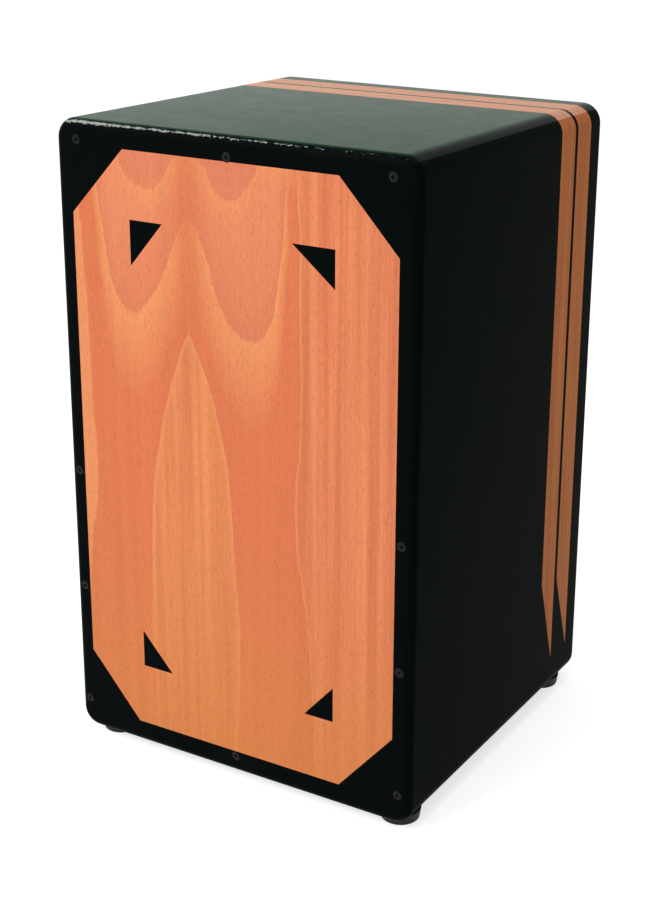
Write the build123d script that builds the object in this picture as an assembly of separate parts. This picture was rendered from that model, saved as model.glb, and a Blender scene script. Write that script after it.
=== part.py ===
import math
import os

from build123d import *

os.makedirs("parts", exist_ok=True)

# Box, outer sizes
width = 298.0
depth = 293.0
height = 483.0
corner_radius = 15.0
edge_rounding = 7.0
wall = 12.0
tapa_thickness = 3.0
back_thickness = 4.0
hole_radius = 57.5
hole_above_base = 268.0

# Feet
foot_height = 8.0
foot_radius = 15.5
foot_tip_radius = 14.2
foot_inset_x = 20.5
foot_inset_y = 25.0
foot_pocket_radius = 6.5
foot_pocket_depth = 5.0

# Rails and corner blocks
rail = 15.0
block_leg = 20.0
fit_gap = 0.3

# Screws
head_radius = 3.6
head_depth = 2.0
dome_height = 0.5
shank_radius = 1.75
tapa_screw_length = 17.0
back_screw_length = 16.0
side_screw_inset = 9.5
top_screw_inset = 14.5
side_screw_heights = (25.0, 122.0, 217.0)
top_screw_places = (-129.0, 0.0, 129.0)
back_screw_inset = 19.5
back_screw_places_x = (-120.0, 0.0, 120.0)
back_screw_heights = (110.0, 241.5, 373.0)

# Snare mechanism
bar_side = 18.0
journal_radius = 8.0
journal_clearance = 0.05
bar_height = 335.0
bearing_thickness = 20.0
bearing_height = 44.0
bearing_depth = 30.0
washer_thickness = 1.6
washer_radius = 12.5
wire_radius = 0.9
wire_count = 10
wire_pitch = 4.2
wire_length = 118.0
wire_lean = 8.0
set_offset = 62.0
plate_thickness = 1.0
plate_width = 52.0
plate_height = 12.0
plate_head = 0.8
lever_radius = 3.0
lever_reach = 58.0
knob_radius = 9.0

# Planes worked out from the sizes
front = -depth / 2
back = depth / 2
base = foot_height
top = foot_height + height
tapa_back = front + tapa_thickness
shell_back = back - back_thickness
inner_x = width / 2 - wall
inner_low = base + wall
inner_high = top - wall
middle_z = (base + top) / 2


def block(low, high):
    """A box between two opposite corners."""
    size = [h - l for l, h in zip(low, high)]
    centre = [(h + l) / 2 for l, h in zip(low, high)]
    return Pos(*centre) * Box(*size)


def rod(start, direction, radius, length):
    """A cylinder from a start point along a direction."""
    plane = Plane(origin=start, z_dir=direction)
    return plane * Cylinder(radius, length, align=(Align.CENTER, Align.CENTER, Align.MIN))


def save(shape, node):
    """One file per named piece."""
    export_step(shape, f"parts/{node}.step")


def screw(start, direction, length, pocket=0.0):
    """A countersunk cross-head screw whose head is flush with its start point."""
    plane = Plane(origin=start, z_dir=direction)
    low = (Align.CENTER, Align.CENTER, Align.MIN)
    head = Cone(head_radius, shank_radius, head_depth, align=low)
    shank = Pos(0, 0, head_depth) * Cylinder(shank_radius, length - head_depth - 3.0, align=low)
    point = Pos(0, 0, length - 3.0) * Cone(shank_radius, 0.5, 3.0, align=low)
    dome = Pos(0, 0, -dome_height / 2) * Cylinder(head_radius - 0.5, dome_height, align=low)
    dome = Pos(0, 0, -dome_height / 2) * dome
    body = head + shank + point + dome
    slot = Box(3.6, 0.8, 2.4) + Box(0.8, 3.6, 2.4)
    body = body - Pos(0, 0, -dome_height + 0.6) * slot
    return plane * body


def screw_hole(start, direction, length):
    """The room a screw takes in the wood round it."""
    plane = Plane(origin=start, z_dir=direction)
    low = (Align.CENTER, Align.CENTER, Align.MIN)
    head = Cone(head_radius + 0.02, shank_radius + 0.02, head_depth, align=low)
    shank = Cylinder(shank_radius + 0.02, length + 0.5, align=low)
    return plane * (head + shank)


# Outer body: a box with rounded long edges and rounded front and back edges
outer = block((-width / 2, front, base), (width / 2, back, top))
outer = fillet(outer.edges().filter_by(Axis.Y), corner_radius)
front_edges = outer.faces().sort_by(Axis.Y)[0].edges()
back_edges = outer.faces().sort_by(Axis.Y)[-1].edges()
outer = fillet(front_edges + back_edges, edge_rounding)

reach = 20.0
tapa = outer & block((-width, front - reach, base - reach), (width, tapa_back, top + reach))
back_panel = outer & block((-width, shell_back, base - reach), (width, back + reach, top + reach))
shell = outer & block((-width, tapa_back, base - reach), (width, shell_back, top + reach))
shell = shell - block((-inner_x, front, inner_low), (inner_x, back, inner_high))

# Sound hole through the back panel
hole_z = base + hole_above_base
back_panel = back_panel - rod((0, shell_back - 1, hole_z), (0, 1, 0), hole_radius, back_thickness + 2)

# The shell is four panels that meet at mitred corners
spread = 10.0
mitre_in = 40.0


def wedge(points):
    """A prism along the box's depth on an outline in X and Z."""
    outline = Plane(origin=(0, back + reach, 0), x_dir=(1, 0, 0), z_dir=(0, -1, 0))
    face = make_face(Polyline(*[outline.from_local_coords((x, z, 0)) for x, z in points], close=True))
    return extrude(face, amount=depth + 2 * reach, dir=(0, -1, 0))


def mitre_points(sign_x, sign_z):
    """The outer and the inner end of one corner's mitre."""
    corner_x = sign_x * width / 2
    corner_z = top if sign_z > 0 else base
    out = (corner_x + sign_x * spread, corner_z + sign_z * spread)
    inside = (corner_x - sign_x * mitre_in, corner_z - sign_z * mitre_in)
    return out, inside


top_left, top_left_in = mitre_points(-1, 1)
top_right, top_right_in = mitre_points(1, 1)
low_left, low_left_in = mitre_points(-1, -1)
low_right, low_right_in = mitre_points(1, -1)
seat_panel = shell & wedge([top_left, top_right, top_right_in, top_left_in])
base_panel = shell & wedge([low_left_in, low_right_in, low_right, low_left])
left_side_panel = shell & wedge([top_left, top_left_in, low_left_in, low_left])
right_side_panel = shell & wedge([top_right_in, top_right, low_right, low_right_in])

# Rails: two behind the tapa, four round the back panel
rail_x = inner_x
top_front_rail = block((-rail_x, tapa_back, inner_high - rail), (rail_x, tapa_back + rail, inner_high))
bottom_front_rail = block((-rail_x, tapa_back, inner_low), (rail_x, tapa_back + rail, inner_low + rail))
top_rear_rail = block((-rail_x, shell_back - rail, inner_high - rail), (rail_x, shell_back, inner_high))
bottom_rear_rail = block((-rail_x, shell_back - rail, inner_low), (rail_x, shell_back, inner_low + rail))
side_rail_low = inner_low + rail
side_rail_high = inner_high - rail
left_rear_rail = block((-rail_x, shell_back - rail, side_rail_low), (-rail_x + rail, shell_back, side_rail_high))
right_rear_rail = block((rail_x - rail, shell_back - rail, side_rail_low), (rail_x, shell_back, side_rail_high))

# Glue blocks: a triangular prism in each corner between the front and rear rails
corner_nodes = {}
for side, sign_x in (("left", -1), ("right", 1)):
    for level, sign_z in (("top", 1), ("bottom", -1)):
        corner_x = sign_x * inner_x
        corner_z = inner_high if sign_z > 0 else inner_low
        points = [
            (corner_x, corner_z),
            (corner_x - sign_x * block_leg, corner_z),
            (corner_x, corner_z - sign_z * block_leg),
        ]
        prism = wedge(points)
        span = block((-width, tapa_back + rail, base), (width, shell_back - rail, top))
        corner_nodes[f"{side}_{level}_corner_block"] = prism & span

# Tapa screws and back screws
tapa_screw_points = [(x, front, top - top_screw_inset) for x in top_screw_places]
tapa_screw_points.append((0.0, front, base + top_screw_inset))
for z in side_screw_heights:
    for sign_x in (-1, 1):
        tapa_screw_points.append((sign_x * (width / 2 - side_screw_inset), front, base + z))
back_screw_points = []
for x in back_screw_places_x:
    back_screw_points.append((x, back, base + back_screw_inset))
    back_screw_points.append((x, back, top - back_screw_inset))
for z in back_screw_heights:
    for sign_x in (-1, 1):
        back_screw_points.append((sign_x * (width / 2 - back_screw_inset), back, base + z))

tapa_screws = Compound(children=[screw(p, (0, 1, 0), tapa_screw_length) for p in tapa_screw_points])
back_screws = Compound(children=[screw(p, (0, -1, 0), back_screw_length) for p in back_screw_points])
front_holes = [screw_hole(p, (0, 1, 0), tapa_screw_length) for p in tapa_screw_points]
back_holes = [screw_hole(p, (0, -1, 0), back_screw_length) for p in back_screw_points]

# Snare bar: a square batten with a turned journal at each end, behind the tapa
wire_plane = tapa_back + fit_gap + wire_radius
plate_front = wire_plane + wire_radius
bar_front = plate_front + plate_thickness
bar_y = bar_front + bar_side / 2
bar_z = base + bar_height
bearing_in = inner_x - bearing_thickness
bar_end = bearing_in - fit_gap - washer_thickness
half_bar = bar_side / 2
batten = block((-bar_end, bar_y - half_bar, bar_z - half_bar), (bar_end, bar_y + half_bar, bar_z + half_bar))
batten = chamfer(batten.edges().filter_by(Axis.X), 1.0)
journal_end = inner_x - 1.0
journals = rod((-journal_end, bar_y, bar_z), (1, 0, 0), journal_radius, 2 * journal_end)
snare_bar = batten + journals

# Bearing blocks and their screws, on the inner faces of the side panels
bearing_nodes = {}
bearing_screws = []
bearing_holes = []
for side, sign_x in (("left", -1), ("right", 1)):
    low_x = min(sign_x * inner_x, sign_x * bearing_in)
    high_x = max(sign_x * inner_x, sign_x * bearing_in)
    low = (low_x, tapa_back + 1.0, bar_z - bearing_height / 2)
    high = (high_x, tapa_back + 1.0 + bearing_depth, bar_z + bearing_height / 2)
    piece = block(low, high)
    bore = rod((low_x - 1, bar_y, bar_z), (1, 0, 0), journal_radius + journal_clearance, bearing_thickness + 2)
    piece = piece - bore
    for sign_z in (-1, 1):
        start = (sign_x * bearing_in, bar_y + 4.0, bar_z + sign_z * (bearing_height / 2 - 6.0))
        bearing_screws.append(screw(start, (sign_x, 0, 0), 29.0))
        bearing_holes.append(screw_hole(start, (sign_x, 0, 0), 29.0))
    bearing_nodes[f"{side}_bearing_block"] = piece

# Felt washers on the journals, on the bar's side of each bearing block
washers = []
for sign_x in (-1, 1):
    start = (sign_x * bar_end, bar_y, bar_z)
    ring = rod(start, (sign_x, 0, 0), washer_radius - 1.5, washer_thickness)
    washers.append(ring - rod(start, (sign_x, 0, 0), journal_radius, washer_thickness))
felt_washers = Compound(children=washers)

# Snare wires: two sets, each on an end plate screwed to the bar's front face
plate_nodes = {}
wire_nodes = {}
plate_screws = []
for side, sign_x in (("left", -1), ("right", 1)):
    centre_x = sign_x * set_offset
    low = (centre_x - plate_width / 2, plate_front, bar_z - plate_height / 2)
    high = (centre_x + plate_width / 2, bar_front, bar_z + plate_height / 2)
    plate = block(low, high)
    for offset in (-19.0, 19.0):
        start = (centre_x + offset, bar_front, bar_z - 2.5)
        hole = rod((start[0], plate_front - 1, start[2]), (0, 1, 0), 1.3, 4.0)
        plate = plate - hole
        head = rod((start[0], plate_front - plate_head, start[2]), (0, 1, 0), 2.4, plate_head)
        stem = rod((start[0], plate_front - 0.1, start[2]), (0, 1, 0), 1.25, 9.0)
        plate_screws.append(head + stem)
    plate_nodes[f"{side}_snare_plate"] = plate
    wires = []
    for i in range(wire_count):
        along = (i - (wire_count - 1) / 2)
        start = (centre_x + along * wire_pitch, wire_plane, bar_z + 1.4)
        lean = math.radians(sign_x * wire_lean + along * 0.9)
        wires.append(rod(start, (math.sin(lean), 0, math.cos(lean)), wire_radius, wire_length))
    wire_nodes[f"{side}_snare_wires"] = Compound(children=wires)
for piece in plate_screws:
    snare_bar = snare_bar - piece

# Lever: a steel rod out of the bar's back face, with a ball knob
lever_start = (0, bar_y, bar_z)
lever_tip = bar_y + lever_reach
snare_lever = rod(lever_start, (0, 1, 0), lever_radius, lever_reach)
lever_knob = Pos(0, lever_tip, bar_z) * Sphere(knob_radius)
lever_knob = lever_knob - snare_lever
snare_bar = snare_bar - snare_lever

# Feet, each with a steel washer and a screw up into the base panel
foot_nodes = {}
foot_washers = []
foot_screws = []
foot_pilots = []
foot_low = (Align.CENTER, Align.CENTER, Align.MIN)
for side, sign_x in (("left", -1), ("right", 1)):
    for end, sign_y in (("front", -1), ("rear", 1)):
        x = sign_x * (width / 2 - foot_inset_x)
        y = sign_y * (depth / 2 - foot_inset_y)
        body = Cone(foot_tip_radius, foot_radius, foot_height, align=foot_low)
        body = fillet(body.edges().sort_by(Axis.Z)[0], 1.0)
        pocket = Cylinder(foot_pocket_radius, foot_pocket_depth, align=foot_low)
        drill = Cylinder(shank_radius + 0.02, foot_height, align=foot_low)
        foot_nodes[f"{end}_{side}_foot"] = Pos(x, y, 0) * (body - pocket - drill)
        washer = Cylinder(foot_pocket_radius - 0.5, 1.0, align=foot_low)
        washer = washer - Cylinder(shank_radius + 0.02, 1.0, align=foot_low)
        foot_washers.append(Pos(x, y, foot_pocket_depth - 1.0) * washer)
        head = Pos(0, 0, foot_pocket_depth - 3.2) * Cylinder(3.4, 2.2, align=foot_low)
        slot = Box(4.0, 0.9, 2.4) + Box(0.9, 4.0, 2.4)
        head = head - Pos(0, 0, foot_pocket_depth - 3.2) * slot
        stem = Pos(0, 0, foot_pocket_depth - 1.0) * Cylinder(shank_radius, 13.0, align=foot_low)
        foot_screws.append(Pos(x, y, 0) * (head + stem))
        foot_pilots.append(Pos(x, y, base - 1.0) * Cylinder(shank_radius + 0.02, 11.0, align=foot_low))

# Holes for the screws in each piece that they pass through
for hole in front_holes:
    tapa = tapa - hole
    left_side_panel = left_side_panel - hole
    right_side_panel = right_side_panel - hole
    top_front_rail = top_front_rail - hole
    bottom_front_rail = bottom_front_rail - hole
for hole in back_holes:
    back_panel = back_panel - hole
    top_rear_rail = top_rear_rail - hole
    bottom_rear_rail = bottom_rear_rail - hole
    left_rear_rail = left_rear_rail - hole
    right_rear_rail = right_rear_rail - hole
for hole in bearing_holes:
    left_side_panel = left_side_panel - hole
    right_side_panel = right_side_panel - hole
    for node in bearing_nodes:
        bearing_nodes[node] = bearing_nodes[node] - hole
for hole in foot_pilots:
    base_panel = base_panel - hole

save(tapa, "tapa")
save(back_panel, "back_panel")
save(seat_panel, "seat_panel")
save(base_panel, "base_panel")
save(left_side_panel, "left_side_panel")
save(right_side_panel, "right_side_panel")
save(top_front_rail, "top_front_rail")
save(bottom_front_rail, "bottom_front_rail")
save(top_rear_rail, "top_rear_rail")
save(bottom_rear_rail, "bottom_rear_rail")
save(left_rear_rail, "left_rear_rail")
save(right_rear_rail, "right_rear_rail")
save(tapa_screws, "tapa_screws")
save(back_screws, "back_screws")
save(snare_bar, "snare_bar")
save(felt_washers, "felt_washers")
save(Compound(children=bearing_screws), "bearing_screws")
save(Compound(children=plate_screws), "snare_plate_screws")
save(snare_lever, "snare_lever")
save(lever_knob, "lever_knob")
save(Compound(children=foot_washers), "foot_washers")
save(Compound(children=foot_screws), "foot_screws")
for group in (corner_nodes, bearing_nodes, plate_nodes, wire_nodes, foot_nodes):
    for node, shape in group.items():
        save(shape, node)
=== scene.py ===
import math

import bmesh
import bpy
from mathutils import Matrix, Vector


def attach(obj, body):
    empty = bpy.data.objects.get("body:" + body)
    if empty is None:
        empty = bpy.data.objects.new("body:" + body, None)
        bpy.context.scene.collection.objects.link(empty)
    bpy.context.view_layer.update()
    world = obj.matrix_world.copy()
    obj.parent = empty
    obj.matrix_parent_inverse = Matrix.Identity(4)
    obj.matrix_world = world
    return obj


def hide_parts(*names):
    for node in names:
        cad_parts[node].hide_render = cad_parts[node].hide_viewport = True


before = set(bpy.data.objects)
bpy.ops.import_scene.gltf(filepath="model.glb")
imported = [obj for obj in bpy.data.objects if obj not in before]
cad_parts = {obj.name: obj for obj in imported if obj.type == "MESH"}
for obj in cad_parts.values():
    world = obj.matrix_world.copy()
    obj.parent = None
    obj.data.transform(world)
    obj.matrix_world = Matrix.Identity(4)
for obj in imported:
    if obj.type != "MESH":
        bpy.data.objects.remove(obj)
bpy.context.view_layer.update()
print("frame loaded")

# camera, from the front right and a little above
camSet = {"place": (0.6378, -1.0461, 0.6681), "yaw": 29.56, "pitch": 17.93, "roll": 0.83,
          "lens": 65.88, "sensor": 36.0, "shift": (-0.0628, -0.0649)}
camData = bpy.data.cameras.new("camera")
camData.lens = camSet["lens"]
camData.sensor_width = camSet["sensor"]
camData.shift_x, camData.shift_y = camSet["shift"]
cam = bpy.data.objects.new("camera", camData)
turn = Matrix.Rotation(math.radians(camSet["yaw"]), 4, "Z")
tip = Matrix.Rotation(math.radians(90.0 - camSet["pitch"]), 4, "X")
lean = Matrix.Rotation(math.radians(camSet["roll"]), 4, "Z")
cam.matrix_world = Matrix.Translation(camSet["place"]) @ turn @ tip @ lean
bpy.context.scene.collection.objects.link(cam)
bpy.context.scene.camera = cam
bpy.context.scene.view_settings.view_transform = "Standard"


def tone(red, green, blue):
    # display colour 0-255 to scene linear
    out = []
    for value in (red, green, blue):
        v = value / 255.0
        out.append(v / 12.92 if v <= 0.04045 else ((v + 0.055) / 1.055) ** 2.4)
    return (*out, 1.0)


def addNode(tree, kind, inputs=None, **props):
    node = tree.nodes.new(kind)
    for key, value in props.items():
        setattr(node, key, value)
    for key, value in (inputs or {}).items():
        if isinstance(value, bpy.types.NodeSocket):
            tree.links.new(value, node.inputs[key])
        else:
            node.inputs[key].default_value = value
    return node


def calc(tree, operation, a, b=0.0):
    return addNode(tree, "ShaderNodeMath", {0: a, 1: b}, operation=operation).outputs[0]


def noise(tree, vector, scale, detail=3.0, roughness=0.5):
    values = {"Vector": vector, "Scale": scale, "Detail": detail, "Roughness": roughness}
    return addNode(tree, "ShaderNodeTexNoise", values).outputs["Fac"]


def stretch(tree, vector, scale):
    return addNode(tree, "ShaderNodeMapping", {"Vector": vector, "Scale": scale}).outputs["Vector"]


def fadeOver(tree, value, start, end, low=0.0, high=1.0):
    # low at start, high at end, held beyond both
    values = {"Value": value, "From Min": start, "From Max": end, "To Min": low, "To Max": high}
    return addNode(tree, "ShaderNodeMapRange", values).outputs[0]


def ramp(tree, factor, stops):
    node = addNode(tree, "ShaderNodeValToRGB", {"Fac": factor})
    while len(node.color_ramp.elements) < len(stops):
        node.color_ramp.elements.new(0.5)
    for element, (place, colour) in zip(node.color_ramp.elements, stops):
        element.position = place
        element.color = colour if len(colour) == 4 else (*colour, 1.0)
    return node.outputs["Color"]


def grey(value):
    return (value, value, value, 1.0)


def blend(tree, factor, a, b, how="MIX"):
    values = {"Factor": factor, "A": a, "B": b}
    node = tree.nodes.new("ShaderNodeMix")
    node.data_type = "RGBA"
    node.blend_type = how
    for socket in node.inputs:
        fits = socket.type == "RGBA" or (socket.name == "Factor" and socket.type == "VALUE")
        if socket.name in values and fits:
            value = values[socket.name]
            if isinstance(value, bpy.types.NodeSocket):
                tree.links.new(value, socket)
            else:
                socket.default_value = value
    return [s for s in node.outputs if s.type == "RGBA"][0]


def newMaterial(name, roughness=0.5, specular=0.5, metallic=0.0):
    mat = bpy.data.materials.new(name)
    mat.use_nodes = True
    tree = mat.node_tree
    shader = tree.nodes["Principled BSDF"]
    shader.inputs["Roughness"].default_value = roughness
    shader.inputs["Specular IOR Level"].default_value = specular
    shader.inputs["Metallic"].default_value = metallic
    coords = addNode(tree, "ShaderNodeTexCoord").outputs["Object"]
    return mat, tree, shader, coords


def addBump(tree, shader, height, strength, distance):
    values = {"Height": height, "Strength": strength, "Distance": distance}
    bump = addNode(tree, "ShaderNodeBump", values)
    tree.links.new(bump.outputs["Normal"], shader.inputs["Normal"])


# a painted highlight along the front top edge, broken into pale specks, more to the left than to the right
glintSet = {"y": -0.1447, "z": 0.4892, "width": 0.0080, "specks": (330.0, 700.0, 700.0),
           "fromX": -0.14, "toX": 0.14, "leftGlint": 0.44, "rightGlint": 0.24, "sound": 0.80,
           "pale": (196, 200, 192)}
turnSet = {"low": 0.4897, "high": 0.4910}  # heights between which the top's paint turns over the edge


# paint: black, with the fine ripple of sprayed or rolled lacquer
def paintMaterial(name, dark, light, roughness, specular, ripple, edgeGlint=0.0, edgeWithoutSheen=None):
    mat, tree, shader, coords = newMaterial(name, roughness, specular)
    cloud = noise(tree, coords, 22.0, 5.0, 0.6)
    colour = ramp(tree, cloud, [(0.35, dark), (0.7, light)])
    if edgeWithoutSheen:  # the painted sheen is left off where the paint turns over the rounded edges, so it stays near black there
        height = addNode(tree, "ShaderNodeSeparateXYZ", {"Vector": coords}).outputs["Z"]
        colour = blend(tree, fadeOver(tree, height, turnSet["low"], turnSet["high"]), edgeWithoutSheen, colour)
    # painted highlight: a pale broken line on the rounding of the front top edge
    if edgeGlint:
        split = addNode(tree, "ShaderNodeSeparateXYZ", {"Vector": coords})
        offY = calc(tree, "SUBTRACT", split.outputs["Y"], glintSet["y"])
        offZ = calc(tree, "SUBTRACT", split.outputs["Z"], glintSet["z"])
        squares = calc(tree, "ADD", calc(tree, "MULTIPLY", offY, offY), calc(tree, "MULTIPLY", offZ, offZ))
        away = calc(tree, "SQRT", squares)
        specks = noise(tree, stretch(tree, coords, glintSet["specks"]), 1.0, 5.0, 0.8)
        leftward = fadeOver(tree, split.outputs["X"], glintSet["fromX"], glintSet["toX"],
                            glintSet["leftGlint"], glintSet["rightGlint"])
        glinting = calc(tree, "SUBTRACT", calc(tree, "ADD", specks, leftward), glintSet["sound"])
        mask = calc(tree, "LESS_THAN", away, calc(tree, "MULTIPLY", glinting, glintSet["width"]))
        colour = blend(tree, calc(tree, "MULTIPLY", mask, edgeGlint), colour, tone(*glintSet["pale"]))
    tree.links.new(colour, shader.inputs["Base Color"])
    peel = noise(tree, coords, 620.0, 2.0, 0.5)
    strokes = noise(tree, stretch(tree, coords, (60.0, 420.0, 60.0)), 1.0, 3.0, 0.6)
    height = calc(tree, "ADD", peel, calc(tree, "MULTIPLY", strokes, 0.8))
    addBump(tree, shader, height, ripple, 0.0004)
    wear = noise(tree, coords, 45.0, 6.0, 0.7)
    rough = ramp(tree, wear, [(0.3, grey(max(roughness - 0.03, 0.05))), (0.75, grey(roughness + 0.04))])
    tree.links.new(rough, shader.inputs["Roughness"])
    return mat


# one black paint in four copies, toned per face for how light falls on it: the top's green base colour is a
# painted sheen
paintTop = paintMaterial("paintTop", tone(9, 53, 31), tone(14, 59, 36), 0.25, 0.02, 0.35,
                         edgeGlint=0.8, edgeWithoutSheen=tone(8, 15, 12))
paintSide = paintMaterial("paintSide", tone(5, 13, 8), tone(8, 15, 10), 0.40, 0.004, 0.2)
paintFront = paintMaterial("paintFront", tone(4, 9, 10), tone(6, 11, 12), 0.40, 0.01, 0.15, edgeGlint=0.7)
paintBack = paintMaterial("paintBack", tone(13, 16, 15), tone(18, 21, 20), 0.40, 0.12, 0.20)


# beech: fine short flecks along the grain over soft bands
def flecks(tree, coords, across, along, axis):
    scale = [across, across, across]
    scale[axis] = along
    mark = noise(tree, stretch(tree, coords, scale), 1.0, 2.0, 0.55)
    return ramp(tree, mark, [(0.30, grey(1.0)), (0.42, grey(0.0))])


# figure of the tapa: arch and crown as height over x, the other lines as x over height
tapaSet = {"arch": [(-0.1190, 0.5200), (-0.1101, 0.4243), (-0.1049, 0.3922), (-0.0949, 0.3641),
                    (-0.0840, 0.3564), (-0.0655, 0.3719), (-0.0561, 0.3878), (-0.0421, 0.4181),
                    (-0.0338, 0.4285), (-0.0190, 0.4069), (-0.0092, 0.3763), (0.0092, 0.3522),
                    (0.0217, 0.3506), (0.0342, 0.3650), (0.0405, 0.3939), (0.0469, 0.4492),
                    (0.0510, 0.5200)],
           "crown": [(-0.0930, 0.4800), (-0.0799, 0.4508), (-0.0691, 0.4478), (-0.0559, 0.4551),
                     (-0.0340, 0.4746), (-0.0195, 0.4692), (-0.0116, 0.4529), (0.0027, 0.4470),
                     (0.0150, 0.4558), (0.0260, 0.4800)],
           "flameLeft": [(0.036, -0.0734), (0.0996, -0.0749), (0.1414, -0.0742), (0.2231, -0.0697),
                         (0.2635, -0.0628), (0.3115, -0.0499), (0.3492, -0.0343)],
           "flameRight": [(0.0365, 0.0016), (0.1327, 0.0055), (0.1797, 0.0019), (0.2372, -0.0014),
                          (0.2812, -0.0091), (0.3200, -0.0212), (0.3492, -0.0343)],
           "straight": [(0.0238, 0.0704), (0.1165, 0.0662), (0.1739, 0.0599), (0.2299, 0.0538),
                        (0.2864, 0.0582), (0.3581, 0.0584), (0.4736, 0.0569)],
           "sap": [(0.030, -0.1400), (0.0834, -0.1375), (0.1696, -0.1304), (0.2364, -0.1221),
                   (0.2912, -0.1240), (0.4040, -0.1272), (0.4221, -0.1294)],
           "roughness": 0.45, "specular": 0.25}
tapaTones = {"archLine": (226, 128, 88), "pink": (233, 134, 92), "archTop": (238, 142, 98),
             "crown": (228, 131, 92), "halo": (243, 153, 96), "red": (228, 122, 76),
             "flameDark": (228, 128, 79), "flame": (236, 142, 85), "flameLight": (241, 150, 93),
             "streakDark": (224, 122, 78), "streak": (233, 133, 87), "streakLight": (240, 144, 96),
             "pale": (245, 156, 100), "foot": (222, 136, 68), "fleck": (186, 92, 58)}


def curveOf(tree, value, points):
    # a smooth curve through given points
    lowIn, highIn = points[0][0], points[-1][0]
    lowOut, highOut = min(p[1] for p in points), max(p[1] for p in points)
    node = addNode(tree, "ShaderNodeFloatCurve", {"Value": fadeOver(tree, value, lowIn, highIn)})
    curve = node.mapping.curves[0]
    placed = [((a - lowIn) / (highIn - lowIn), (b - lowOut) / (highOut - lowOut)) for a, b in points]
    curve.points[0].location = placed[0]
    curve.points[-1].location = placed[-1]
    for spot in placed[1:-1]:
        curve.points.new(*spot)
    node.mapping.update()
    return fadeOver(tree, node.outputs[0], 0.0, 1.0, lowOut, highOut)


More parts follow.
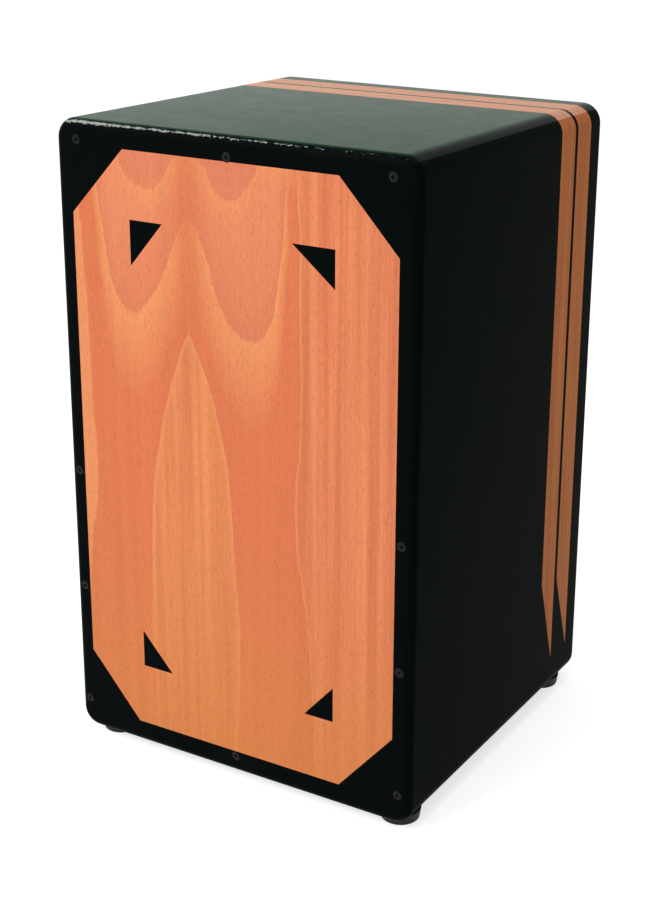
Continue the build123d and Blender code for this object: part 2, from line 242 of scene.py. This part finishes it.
def tapaMaterial():
    mat, tree, shader, coords = newMaterial("tapaBeech", tapaSet["roughness"], tapaSet["specular"])
    split = addNode(tree, "ShaderNodeSeparateXYZ", {"Vector": coords})
    jag = calc(tree, "SUBTRACT", noise(tree, stretch(tree, coords, (900.0, 1.0, 26.0)), 1.0, 3.0, 0.7), 0.5)
    wave = calc(tree, "SUBTRACT", noise(tree, stretch(tree, coords, (30.0, 1.0, 22.0)), 1.0, 2.0, 0.5), 0.5)
    x = calc(tree, "ADD", split.outputs["X"], calc(tree, "MULTIPLY", wave, 0.004))
    x = calc(tree, "ADD", x, calc(tree, "MULTIPLY", jag, 0.0016))
    z = calc(tree, "ADD", split.outputs["Z"], calc(tree, "MULTIPLY", jag, 0.010))
    colours = {key: tone(*value) for key, value in tapaTones.items()}
    bands = noise(tree, stretch(tree, coords, (120.0, 1.0, 2.2)), 1.0, 4.0, 0.65)
    wide = noise(tree, stretch(tree, coords, (38.0, 1.0, 1.0)), 1.0, 3.0, 0.5)
    # below the arch: pale next to its line, red further down
    arch = calc(tree, "SUBTRACT", z, curveOf(tree, x, tapaSet["arch"]))
    colour = blend(tree, fadeOver(tree, arch, -0.003, -0.068), colours["halo"], colours["red"])
    # inside the arch and the crown: pinker, darkest at the line
    inArch = ramp(tree, fadeOver(tree, arch, 0.0, 0.08),
                  [(0.0, colours["archLine"]), (0.3, colours["pink"]), (1.0, colours["archTop"])])
    colour = blend(tree, fadeOver(tree, arch, -0.0006, 0.0010), colour, inArch)
    crown = calc(tree, "SUBTRACT", z, curveOf(tree, x, tapaSet["crown"]))
    halo = calc(tree, "MULTIPLY", fadeOver(tree, crown, -0.020, -0.001), 0.7)
    colour = blend(tree, halo, colour, colours["halo"])
    colour = blend(tree, fadeOver(tree, crown, -0.0006, 0.0010), colour, colours["crown"])
    # the long flame in the middle
    goingIn = calc(tree, "SUBTRACT", x, curveOf(tree, z, tapaSet["flameLeft"]))
    goingOut = calc(tree, "SUBTRACT", curveOf(tree, z, tapaSet["flameRight"]), x)
    flame = calc(tree, "MINIMUM", goingIn, goingOut)
    beside = calc(tree, "MULTIPLY", fadeOver(tree, flame, -0.016, -0.0005), 0.75)
    colour = blend(tree, beside, colour, colours["red"])
    inFlame = ramp(tree, bands, [(0.32, colours["flameDark"]), (0.5, colours["flame"]),
                                 (0.7, colours["flameLight"])])
    inFlame = blend(tree, fadeOver(tree, flame, 0.004, 0.0), inFlame, colours["halo"])
    colour = blend(tree, fadeOver(tree, flame, -0.0005, 0.0006), colour, inFlame)
    # straight grain on the right, with a thin pale line where it starts
    right = calc(tree, "SUBTRACT", x, curveOf(tree, z, tapaSet["straight"]))
    streaks = ramp(tree, bands, [(0.34, colours["streakDark"]), (0.5, colours["streak"]),
                                 (0.66, colours["streakLight"])])
    before = calc(tree, "MULTIPLY", fadeOver(tree, right, -0.010, 0.0), 0.6)
    colour = blend(tree, before, colour, colours["red"])
    colour = blend(tree, fadeOver(tree, right, -0.0004, 0.0006), colour, streaks)
    line = calc(tree, "MULTIPLY", fadeOver(tree, right, 0.0022, 0.0004),
                fadeOver(tree, right, -0.0006, 0.0004))
    colour = blend(tree, calc(tree, "MULTIPLY", line, 0.7), colour, colours["pale"])
    # pale sapwood along the left edge
    left = calc(tree, "SUBTRACT", curveOf(tree, z, tapaSet["sap"]), x)
    sap = calc(tree, "MULTIPLY", fadeOver(tree, left, -0.0010, 0.0010), 0.8)
    colour = blend(tree, sap, colour, colours["pale"])
    # yellower and darker towards the bottom: partly the wood's own tone, partly painted shade
    low = calc(tree, "MULTIPLY", fadeOver(tree, split.outputs["Z"], 0.20, 0.03), 0.75)
    colour = blend(tree, low, colour, colours["foot"])
    soft = ramp(tree, bands, [(0.3, grey(0.94)), (0.7, grey(1.03))])
    colour = blend(tree, 1.0, colour, soft, "MULTIPLY")
    broad = ramp(tree, wide, [(0.3, grey(0.965)), (0.7, grey(1.02))])
    colour = blend(tree, 1.0, colour, broad, "MULTIPLY")
    mark = flecks(tree, coords, 1800.0, 240.0, 2)
    colour = blend(tree, calc(tree, "MULTIPLY", mark, 0.5), colour, colours["fleck"])
    pores = noise(tree, stretch(tree, coords, (1900.0, 1.0, 160.0)), 1.0, 2.0, 0.6)
    shade = ramp(tree, pores, [(0.3, grey(0.90)), (0.65, grey(1.05))])
    colour = blend(tree, 1.0, colour, shade, "MULTIPLY")
    tree.links.new(colour, shader.inputs["Base Color"])
    addBump(tree, shader, pores, 0.12, 0.0002)
    return mat


def stripeMaterial(name, light, deep, axis):
    mat, tree, shader, coords = newMaterial(name, 0.45, 0.05)
    scale = [260.0, 260.0, 260.0]
    scale[axis] = 6.0
    bands = noise(tree, stretch(tree, coords, scale), 1.0, 4.0, 0.6)
    colour = ramp(tree, bands, [(0.3, tone(*deep)), (0.7, tone(*light))])
    mark = flecks(tree, coords, 1500.0, 150.0, axis)
    colour = blend(tree, calc(tree, "MULTIPLY", mark, 0.5), colour, tone(150, 80, 46))
    tree.links.new(colour, shader.inputs["Base Color"])
    addBump(tree, shader, bands, 0.1, 0.0002)
    return mat


def rawWood(name, light, deep, axis, roughness=0.7):
    mat, tree, shader, coords = newMaterial(name, roughness, 0.25)
    scale = [70.0, 70.0, 70.0]
    scale[axis] = 3.0
    warp = noise(tree, stretch(tree, coords, scale), 1.0, 5.0, 0.6)
    colour = ramp(tree, warp, [(0.25, tone(*deep)), (0.5, tone(*light)), (0.8, tone(*deep))])
    mark = flecks(tree, coords, 900.0, 90.0, axis)
    colour = blend(tree, calc(tree, "MULTIPLY", mark, 0.4), colour, tone(120, 86, 52))
    tree.links.new(colour, shader.inputs["Base Color"])
    addBump(tree, shader, warp, 0.25, 0.0004)
    return mat


def layeredPly(name):
    # edge of three-layer plywood, seen round the sound hole
    mat, tree, shader, coords = newMaterial(name, 0.75, 0.2)
    split = addNode(tree, "ShaderNodeSeparateXYZ", {"Vector": coords})
    layer = calc(tree, "FRACT", calc(tree, "MULTIPLY", split.outputs["Y"], 1.0 / 0.00267))
    colour = ramp(tree, layer, [(0.0, tone(196, 156, 108)), (0.48, tone(206, 168, 120)),
                                (0.52, tone(120, 84, 52)), (1.0, tone(134, 96, 60))])
    fibre = noise(tree, coords, 900.0, 3.0, 0.6)
    colour = blend(tree, 1.0, colour, ramp(tree, fibre, [(0.3, grey(0.75)), (0.7, grey(1.05))]), "MULTIPLY")
    tree.links.new(colour, shader.inputs["Base Color"])
    addBump(tree, shader, fibre, 0.3, 0.0003)
    return mat


def metalMaterial(name, colour, roughness, coilPitch=0.0):
    mat, tree, shader, coords = newMaterial(name, roughness, 0.5, 1.0)
    cloud = noise(tree, coords, 300.0, 4.0, 0.6)
    lighter = tuple(min(c * 1.25, 1.0) for c in colour[:3])
    tree.links.new(ramp(tree, cloud, [(0.3, colour), (0.7, lighter)]), shader.inputs["Base Color"])
    height = cloud
    if coilPitch:  # turns of a coiled wire
        split = addNode(tree, "ShaderNodeSeparateXYZ", {"Vector": coords})
        turns = calc(tree, "MULTIPLY", split.outputs["Z"], 2.0 * math.pi / coilPitch)
        height = calc(tree, "SINE", turns)
    addBump(tree, shader, height, 0.7 if coilPitch else 0.15, 0.0003)
    return mat


def softMaterial(name, dark, light, scale, roughness, strength):
    mat, tree, shader, coords = newMaterial(name, roughness, 0.3)
    grain = noise(tree, coords, scale, 4.0, 0.65)
    tree.links.new(ramp(tree, grain, [(0.3, dark), (0.7, light)]), shader.inputs["Base Color"])
    addBump(tree, shader, grain, strength, 0.0004)
    return mat


tapaBeech = tapaMaterial()
# one beech in two copies: the top's paler, pinker tone is a painted sheen and the sides' darker, browner
# tone is painted shade
stripeTop = stripeMaterial("stripeTop", (226, 170, 140), (204, 140, 106), 0)
stripeSide = stripeMaterial("stripeSide", (206, 124, 60), (174, 94, 42), 2)
plyEdge = layeredPly("plyEdge")
innerAcross = rawWood("innerAcross", (206, 168, 120), (184, 142, 96), 0)
innerUp = rawWood("innerUp", (206, 168, 120), (184, 142, 96), 2)
railWood = rawWood("railWood", (214, 184, 138), (190, 154, 108), 0)
postWood = rawWood("postWood", (214, 184, 138), (190, 154, 108), 2)
blockWood = rawWood("blockWood", (210, 178, 130), (186, 150, 104), 1)
barWood = rawWood("barWood", (224, 190, 140), (204, 164, 114), 0, 0.5)
knobWood = rawWood("knobWood", (150, 92, 52), (112, 64, 34), 1, 0.35)
screwBlack = paintMaterial("screwBlack", tone(12, 13, 14), tone(18, 18, 20), 0.12, 0.14, 0.1)
zincSteel = metalMaterial("zincSteel", tone(168, 170, 172), 0.30)
coilSteel = metalMaterial("coilSteel", tone(182, 184, 186), 0.25, 0.0011)
footRubber = softMaterial("footRubber", tone(14, 14, 14), tone(28, 28, 28), 700.0, 0.6, 0.25)
felt = softMaterial("felt", tone(52, 52, 50), tone(84, 84, 80), 1500.0, 0.95, 0.8)
print("materials made")

# box: sizes in metres, standing on its feet
boxSet = {"width": 0.298, "depth": 0.293, "height": 0.483, "low": 0.008, "corner": 0.015, "edge": 0.007,
          "wall": 0.012, "tapa": 0.003, "rear": 0.004, "seam": 0.0002, "cornerSteps": 10,
          "edgeSteps": 8, "bendSteps": 5, "ease": 1.6}
boxSet["halfX"] = boxSet["width"] / 2
boxSet["front"], boxSet["back"] = -boxSet["depth"] / 2, boxSet["depth"] / 2
boxSet["high"] = boxSet["low"] + boxSet["height"]
boxSet["tapaBack"] = boxSet["front"] + boxSet["tapa"]
boxSet["shellBack"] = boxSet["back"] - boxSet["rear"]
# wood stripes: start and end behind the front face, shoulder and tip heights above the base
stripeSet = {"bands": ((0.2165, 0.2410, 0.1066, 0.0310), (0.2458, 0.2700, 0.1007, 0.0320))}
# countersinks: cone radii, its depth and how deep its middle sits
sinkSet = {"wide": 0.00385, "tip": 0.0012, "depth": 0.0028, "middle": 0.00135, "sides": 32}
tiny = 1e-6  # two places closer than this are the same


def edgeInset(depth):
    # how far the rounded edge draws in at this depth behind the front or back face
    r = boxSet["edge"]
    return 0.0 if depth >= r else r - math.sqrt(max(r * r - (r - depth) ** 2, 0.0))


def cornerArc(signX, signZ, startDeg, endDeg, inset, steps):
    r = boxSet["corner"]
    cx = signX * (boxSet["halfX"] - r)
    cz = boxSet["high"] - r if signZ > 0 else boxSet["low"] + r
    points = []
    for i in range(steps + 1):
        a = math.radians(startDeg + (endDeg - startDeg) * i / steps)
        points.append((cx + (r - inset) * math.cos(a), cz + (r - inset) * math.sin(a)))
    return points


def fullOutline(inset):
    n = boxSet["cornerSteps"]
    return (cornerArc(1, 1, 0, 90, inset, n) + cornerArc(-1, 1, 90, 180, inset, n)
            + cornerArc(-1, -1, 180, 270, inset, n) + cornerArc(1, -1, 270, 360, inset, n))


def loft(bm, rows):
    # the first outline is drawn as a wire, then extruded from row to row; a row is (y, points)
    y, points = rows[0]
    ring = [bm.verts.new((x, y, z)) for x, z in points]
    edges = [bm.edges.new((ring[i - 1], ring[i])) for i in range(len(ring))]
    rings = [ring]
    for y, points in rows[1:]:
        made = bmesh.ops.extrude_edge_only(bm, edges=edges)["geom"]
        fresh = {v for v in made if isinstance(v, bmesh.types.BMVert)}
        edges = [e for e in made if isinstance(e, bmesh.types.BMEdge) and fresh.issuperset(e.verts)]
        grown = []
        for v, (x, z) in zip(ring, points):
            follower = next(e.other_vert(v) for e in v.link_edges if e.other_vert(v) in fresh)
            follower.co = (x, y, z)
            grown.append(follower)
        ring = grown
        rings.append(ring)
    return rings


def edgeRows(start, inward, thickness):
    # rows over the rounded outer edge of a plate whose outer face is at start
    steps = boxSet["edgeSteps"]
    rows = []
    for i in range(steps + 1):
        depth = (thickness - boxSet["seam"]) * (1.0 - i / steps) ** boxSet["ease"]
        rows.append((start + inward * depth, fullOutline(edgeInset(depth))))
    return rows


def onPlane(item, y):
    return all(abs(v.co.y - y) < tiny for v in item.verts)


def finishMesh(bm, name, materials, node, smooth=30.0):
    bmesh.ops.recalc_face_normals(bm, faces=bm.faces[:])
    mesh = bpy.data.meshes.new(name)
    bm.to_mesh(mesh)
    bm.free()
    for mat in materials:
        mesh.materials.append(mat)
    for face in mesh.polygons:
        face.use_smooth = True
    mesh.set_sharp_from_angle(angle=math.radians(smooth))
    piece = bpy.data.objects.new(name, mesh)
    bpy.context.scene.collection.objects.link(piece)
    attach(piece, "box")
    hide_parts(node)
    return piece


def cutOut(piece, cutter):
    # boolean cut, applied, with the cutter taken away afterwards
    mod = piece.modifiers.new("cut", "BOOLEAN")
    mod.operation = "DIFFERENCE"
    mod.solver = "EXACT"
    mod.object = cutter
    bpy.context.view_layer.update()
    graph = bpy.context.evaluated_depsgraph_get()
    mesh = bpy.data.meshes.new_from_object(piece.evaluated_get(graph))
    piece.modifiers.clear()
    old = piece.data
    piece.data = mesh
    mesh.name = piece.name
    bpy.data.meshes.remove(old)
    bpy.data.objects.remove(cutter)


def sinkCutter(places, faceY, inward):
    # cones for the screws' countersinks
    bm = bmesh.new()
    for x, z in places:
        made = bmesh.ops.create_cone(bm, cap_ends=True, segments=sinkSet["sides"], radius1=sinkSet["wide"],
                                     radius2=sinkSet["tip"], depth=sinkSet["depth"])
        turnCone = Matrix.Rotation(math.radians(-90.0 * inward), 4, "X")
        move = Matrix.Translation((x, faceY + inward * sinkSet["middle"], z))
        bmesh.ops.transform(bm, matrix=move @ turnCone, verts=made["verts"])
    mesh = bpy.data.meshes.new("cutter")
    bm.to_mesh(mesh)
    bm.free()
    cutter = bpy.data.objects.new("cutter", mesh)
    bpy.context.scene.collection.objects.link(cutter)
    return cutter


def inside(point, polygon):
    # point in convex polygon given in order
    signs = []
    for (ax, ay), (bx, by) in zip(polygon, polygon[1:] + polygon[:1]):
        signs.append((bx - ax) * (point[1] - ay) - (by - ay) * (point[0] - ax))
    return all(s > 0 for s in signs) or all(s < 0 for s in signs)


def cutLine(bm, faces, start, end, axes):
    # cuts the faces along the line through two points; axes says which coordinates they are
    direction = Vector((0.0, 0.0, 0.0))
    origin = Vector((0.0, 0.0, 0.0))
    for k, axis in enumerate(axes):
        direction[axis] = end[k] - start[k]
        origin[axis] = start[k]
    other = Vector((0.0, 0.0, 0.0))
    other[3 - sum(axes)] = 1.0
    geom = list({v for f in faces for v in f.verts}) + list({e for f in faces for e in f.edges}) + faces
    bmesh.ops.bisect_plane(bm, geom=geom, dist=1e-7, plane_co=origin, plane_no=direction.cross(other))


# tapa: the front plate with its painted border, bare octagon and four painted triangles
# heights are above the base
frontSet = {"octagon": [(-0.0885, 0.4653), (0.0885, 0.4653), (0.1345, 0.4160), (0.1345, 0.0685),
                        (0.0905, 0.0185), (-0.0905, 0.0185), (-0.1345, 0.0685), (-0.1345, 0.4160)],
            "triangles": [[(-0.0840, 0.4160), (-0.0556, 0.4160), (-0.0840, 0.3828)],
                          [(0.0860, 0.4160), (0.0521, 0.4160), (0.0860, 0.3885)],
                          [(-0.0843, 0.0678), (-0.0843, 0.0972), (-0.0575, 0.0678)],
                          [(0.0853, 0.0680), (0.0611, 0.0680), (0.0853, 0.0950)]],
            "topScrews": (-0.129, 0.0, 0.129), "endInset": 0.0145,
            "sideScrews": (0.025, 0.122, 0.217), "sideX": 0.1395}
octagon = [(x, z + boxSet["low"]) for x, z in frontSet["octagon"]]
triangles = [[(x, z + boxSet["low"]) for x, z in t] for t in frontSet["triangles"]]
tapaScrews = [(x, boxSet["high"] - frontSet["endInset"]) for x in frontSet["topScrews"]]
tapaScrews.append((0.0, boxSet["low"] + frontSet["endInset"]))
for z in frontSet["sideScrews"]:
    tapaScrews += [(side * frontSet["sideX"], boxSet["low"] + z) for side in (-1, 1)]

bm = bmesh.new()
rows = [(boxSet["tapaBack"], fullOutline(edgeInset(boxSet["tapa"]) + boxSet["seam"]))]
rings = loft(bm, rows + edgeRows(boxSet["front"], 1, boxSet["tapa"]))
bm.faces.new(rings[0])
bm.faces.new(rings[-1])
bm.normal_update()
for shape in [octagon] + triangles:
    for a, b in zip(shape, shape[1:] + shape[:1]):
        cutLine(bm, [f for f in bm.faces if onPlane(f, boxSet["front"])], a, b, (0, 2))
for face in bm.faces:
    centre = face.calc_center_median()
    spot = (centre.x, centre.z)
    if onPlane(face, boxSet["tapaBack"]):
        face.material_index = 2
    elif onPlane(face, boxSet["front"]) and inside(spot, octagon):
        if not any(inside(spot, t) for t in triangles):
            face.material_index = 1
tapa = finishMesh(bm, "tapa_plate", [paintFront, tapaBeech, innerUp], "tapa")
cutOut(tapa, sinkCutter(tapaScrews, boxSet["front"], 1))
print("tapa made")


# shell: four mitred panels with two wood stripes over the top and down each side
def panelOutline(which, inset):
    n = boxSet["cornerSteps"] // 2
    inX = boxSet["halfX"] - boxSet["wall"]
    inLow, inHigh = boxSet["low"] + boxSet["wall"], boxSet["high"] - boxSet["wall"]
    if which == "seat":
        return (cornerArc(1, 1, 45, 90, inset, n) + cornerArc(-1, 1, 90, 135, inset, n)
                + [(-inX, inHigh), (inX, inHigh)])
    if which == "base":
        return (cornerArc(-1, -1, 225, 270, inset, n) + cornerArc(1, -1, 270, 315, inset, n)
                + [(inX, inLow), (-inX, inLow)])
    if which == "right":
        return (cornerArc(1, -1, 315, 360, inset, n) + cornerArc(1, 1, 0, 45, inset, n)
                + [(inX, inHigh), (inX, inLow)])
    return (cornerArc(-1, 1, 135, 180, inset, n) + cornerArc(-1, -1, 180, 225, inset, n)
            + [(-inX, inLow), (-inX, inHigh)])


def panelRows(which):
    front, back, edge, seam = (boxSet[key] for key in ("front", "back", "edge", "seam"))
    steps = boxSet["bendSteps"]
    places = []
    for i in range(steps + 1):
        places.append(front + boxSet["tapa"] + seam + (edge - boxSet["tapa"] - seam) * i / steps)
    for low, high, shoulder, tipZ in stripeSet["bands"]:
        places += [front + low, front + high]
    for i in range(steps + 1):
        places.append(back - edge + (edge - boxSet["rear"] - seam) * i / steps)
    rows = [(boxSet["tapaBack"], panelOutline(which, edgeInset(boxSet["tapa"]) + seam))]
    for y in places:
        rows.append((y, panelOutline(which, edgeInset(min(y - front, back - y)))))
    rows.append((boxSet["shellBack"], panelOutline(which, edgeInset(boxSet["rear"]) + seam)))
    return rows


def isInner(centre):
    # whether a face lies on the walls round the hollow
    inX = boxSet["halfX"] - boxSet["wall"] + tiny
    low = boxSet["low"] + boxSet["wall"] - tiny
    high = boxSet["high"] - boxSet["wall"] + tiny
    return abs(centre.x) <= inX and low <= centre.z <= high


def shellPanel(which, node, outerMaterial, stripeWood, innerMaterial):
    bm = bmesh.new()
    rings = loft(bm, panelRows(which))
    bm.faces.new(rings[0])
    bm.faces.new(rings[-1])
    bm.normal_update()
    if which in ("left", "right"):
        for low, high, shoulder, tipZ in stripeSet["bands"]:
            column = []
            for f in bm.faces:
                c = f.calc_center_median()
                within = boxSet["front"] + low < c.y < boxSet["front"] + high
                if within and all(abs(abs(v.co.x) - boxSet["halfX"]) < tiny for v in f.verts):
                    column.append(f)
            a = (boxSet["front"] + low, boxSet["low"] + shoulder)
            b = (boxSet["front"] + high, boxSet["low"] + tipZ)
            cutLine(bm, column, a, b, (1, 2))
    for f in bm.faces:
        c = f.calc_center_median()
        if isInner(c) or onPlane(f, f.verts[0].co.y):
            f.material_index = 2
            continue
        if which == "base":
            continue
        for low, high, shoulder, tipZ in stripeSet["bands"]:
            along = c.y - boxSet["front"]
            if low < along < high:
                line = shoulder + (tipZ - shoulder) * (along - low) / (high - low)
                if c.z - boxSet["low"] > line:
                    f.material_index = 1
    finishMesh(bm, node + "_skin", [outerMaterial, stripeWood, innerMaterial], node)


shellPanel("seat", "seat_panel", paintTop, stripeTop, innerAcross)
shellPanel("base", "base_panel", paintSide, stripeSide, innerAcross)
shellPanel("left", "left_side_panel", paintSide, stripeSide, innerUp)
shellPanel("right", "right_side_panel", paintSide, stripeSide, innerUp)
print("shell made")

# back panel with its sound hole
backSet = {"radius": 0.0575, "holeZ": 0.276, "steps": 96, "break": 0.0006, "endScrews": (-0.12, 0.0, 0.12),
           "endInset": 0.0195, "sideScrews": (0.110, 0.2415, 0.373), "sideX": 0.1295}
backScrews = []
for x in backSet["endScrews"]:
    backScrews += [(x, boxSet["low"] + backSet["endInset"]), (x, boxSet["high"] - backSet["endInset"])]
for z in backSet["sideScrews"]:
    backScrews += [(side * backSet["sideX"], boxSet["low"] + z) for side in (-1, 1)]


def holeCircle(radius):
    angles = [2.0 * math.pi * i / backSet["steps"] for i in range(backSet["steps"])]
    return [(radius * math.cos(a), backSet["holeZ"] + radius * math.sin(a)) for a in angles]


bm = bmesh.new()
holeRows = []  # the hole's rim is broken a little at the outer face
for y, grow in ((boxSet["shellBack"], 0.0), (boxSet["back"] - backSet["break"], 0.0),
                (boxSet["back"] - backSet["break"] * 0.3, backSet["break"] * 0.3),
                (boxSet["back"], backSet["break"])):
    holeRows.append((y, holeCircle(backSet["radius"] + grow)))
holeRings = loft(bm, holeRows)
for f in bm.faces:
    f.material_index = 1
rows = [(boxSet["shellBack"], fullOutline(edgeInset(boxSet["rear"]) + boxSet["seam"]))]
rings = loft(bm, rows + edgeRows(boxSet["back"], -1, boxSet["rear"]))
for outerRing, holeRing in ((rings[0], holeRings[0]), (rings[-1], holeRings[-1])):
    edges = []
    for ring in (outerRing, holeRing):
        for i in range(len(ring)):
            edges.append(bm.edges.get((ring[i], ring[(i + 1) % len(ring)])))
    made = bmesh.ops.triangle_fill(bm, use_beauty=True, use_dissolve=False, edges=edges)
    if outerRing is rings[0]:
        for f in made["geom"]:
            if isinstance(f, bmesh.types.BMFace):
                f.material_index = 2
backPanel = finishMesh(bm, "back_plate", [paintBack, plyEdge, innerUp], "back_panel")
cutOut(backPanel, sinkCutter(backScrews, boxSet["back"], -1))
print("back made")

# CAD pieces that keep their shape
finishes = {"railWood": ["top_front_rail", "bottom_front_rail", "top_rear_rail", "bottom_rear_rail"],
            "postWood": ["left_rear_rail", "right_rear_rail", "left_bearing_block", "right_bearing_block"],
            "blockWood": ["left_top_corner_block", "right_top_corner_block", "left_bottom_corner_block",
                          "right_bottom_corner_block"],
            "barWood": ["snare_bar"], "knobWood": ["lever_knob"], "felt": ["felt_washers"],
            "screwBlack": ["tapa_screws", "back_screws"],
            "zincSteel": ["bearing_screws", "snare_plate_screws", "left_snare_plate", "right_snare_plate",
                          "snare_lever", "foot_washers", "foot_screws"],
            "coilSteel": ["left_snare_wires", "right_snare_wires"],
            "footRubber": ["front_left_foot", "front_right_foot", "rear_left_foot", "rear_right_foot"]}
for matName, nodeNames in finishes.items():
    for nodeName in nodeNames:
        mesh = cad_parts[nodeName].data
        mesh.materials.clear()
        mesh.materials.append(bpy.data.materials[matName])
print("inner pieces finished")

# floor and light
stageSet = {"size": 60.0, "floor": 0.86, "glow": 0.66, "world": 0.42}


def seenDirectly(tree):
    # 1 for rays from the camera, from a glossy surface or through glass
    path = addNode(tree, "ShaderNodeLightPath")
    mirrored = calc(tree, "MAXIMUM", path.outputs["Is Glossy Ray"], path.outputs["Is Transmission Ray"])
    return calc(tree, "MAXIMUM", path.outputs["Is Camera Ray"], mirrored)


bm = bmesh.new()
bmesh.ops.create_grid(bm, x_segments=1, y_segments=1, size=stageSet["size"] / 2)
mesh = bpy.data.meshes.new("floor")
bm.to_mesh(mesh)
bm.free()
floor = bpy.data.objects.new("floor", mesh)
bpy.context.scene.collection.objects.link(floor)
floorMat, tree, shader, coords = newMaterial("floorPaper", 0.9, 0.0)
shader.inputs["Base Color"].default_value = grey(stageSet["floor"])
seen = seenDirectly(tree)
glow = addNode(tree, "ShaderNodeEmission", {"Strength": calc(tree, "MULTIPLY", seen, stageSet["glow"])})
total = addNode(tree, "ShaderNodeAddShader", {0: shader.outputs[0], 1: glow.outputs[0]})
tree.links.new(total.outputs[0], tree.nodes["Material Output"].inputs["Surface"])
mesh.materials.append(floorMat)

world = bpy.data.worlds.new("studio")
bpy.context.scene.world = world
world.use_nodes = True
tree = world.node_tree
strength = fadeOver(tree, seenDirectly(tree), 0.0, 1.0, stageSet["world"], 1.0)
background = tree.nodes["Background"]
background.inputs["Color"].default_value = grey(1.0)
tree.links.new(strength, background.inputs["Strength"])

lampSet = {"key": {"place": (-1.1, -2.3, 1.9), "size": 1.4, "watts": 44.0, "aim": (0.0, 0.0, 0.25)},
           "overhead": {"place": (0.1, -0.3, 2.4), "size": 1.2, "watts": 12.0, "aim": (0.0, 0.0, 0.3)}}
for lampName, s in lampSet.items():
    data = bpy.data.lights.new(lampName, "AREA")
    data.size = s["size"]
    data.energy = s["watts"]
    lamp = bpy.data.objects.new(lampName, data)
    lamp.location = s["place"]
    lamp.rotation_mode = "QUATERNION"
    lamp.rotation_quaternion = (Vector(s["aim"]) - Vector(s["place"])).to_track_quat("-Z", "Y")
    bpy.context.scene.collection.objects.link(lamp)
print("light made")
